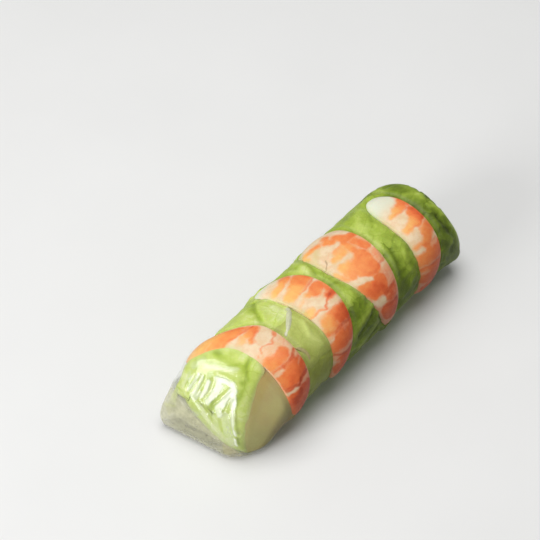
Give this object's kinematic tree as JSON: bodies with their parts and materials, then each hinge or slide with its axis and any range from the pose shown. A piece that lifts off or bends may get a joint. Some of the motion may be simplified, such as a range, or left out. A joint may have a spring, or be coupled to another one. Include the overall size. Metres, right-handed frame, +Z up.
{
  "type": "rice paper roll",
  "caption": "Fresh rice paper roll: a long bundle of lettuce under clear rice paper, with halved prawns showing in a row along its top, one end folded to a ridge and the other blunt",
  "frame": {"origin": "under the middle of the roll, on the surface that it rests on", "axes": "+Y runs along the roll from the folded end at -Y to the blunt end, +Z is up, and +X is to the right when the folded end is near"},
  "size_m": [0.0405, 0.1245, 0.0345],
  "materials": {
    "rice_paper": "wet, clear and slightly milky, glossy, with fine wrinkles at the folded end",
    "lettuce": "moist leaf, pale yellow-green at the folded end and dark green at the blunt end, with fine veins",
    "prawn": "cooked prawn, white flesh with orange bands and fine red lines, moist",
    "pale_strand": "pale, slightly see-through strand, moist"
  },
  "bodies": {
    "root": {"rice_paper": "rice_paper", "lettuce": "lettuce", "prawn_1": "prawn", "prawn_2": "prawn", "prawn_3": "prawn", "prawn_4": "prawn", "bean_sprout": "pale_strand", "rice_noodle": "pale_strand"}
  },
  "joints": []
}
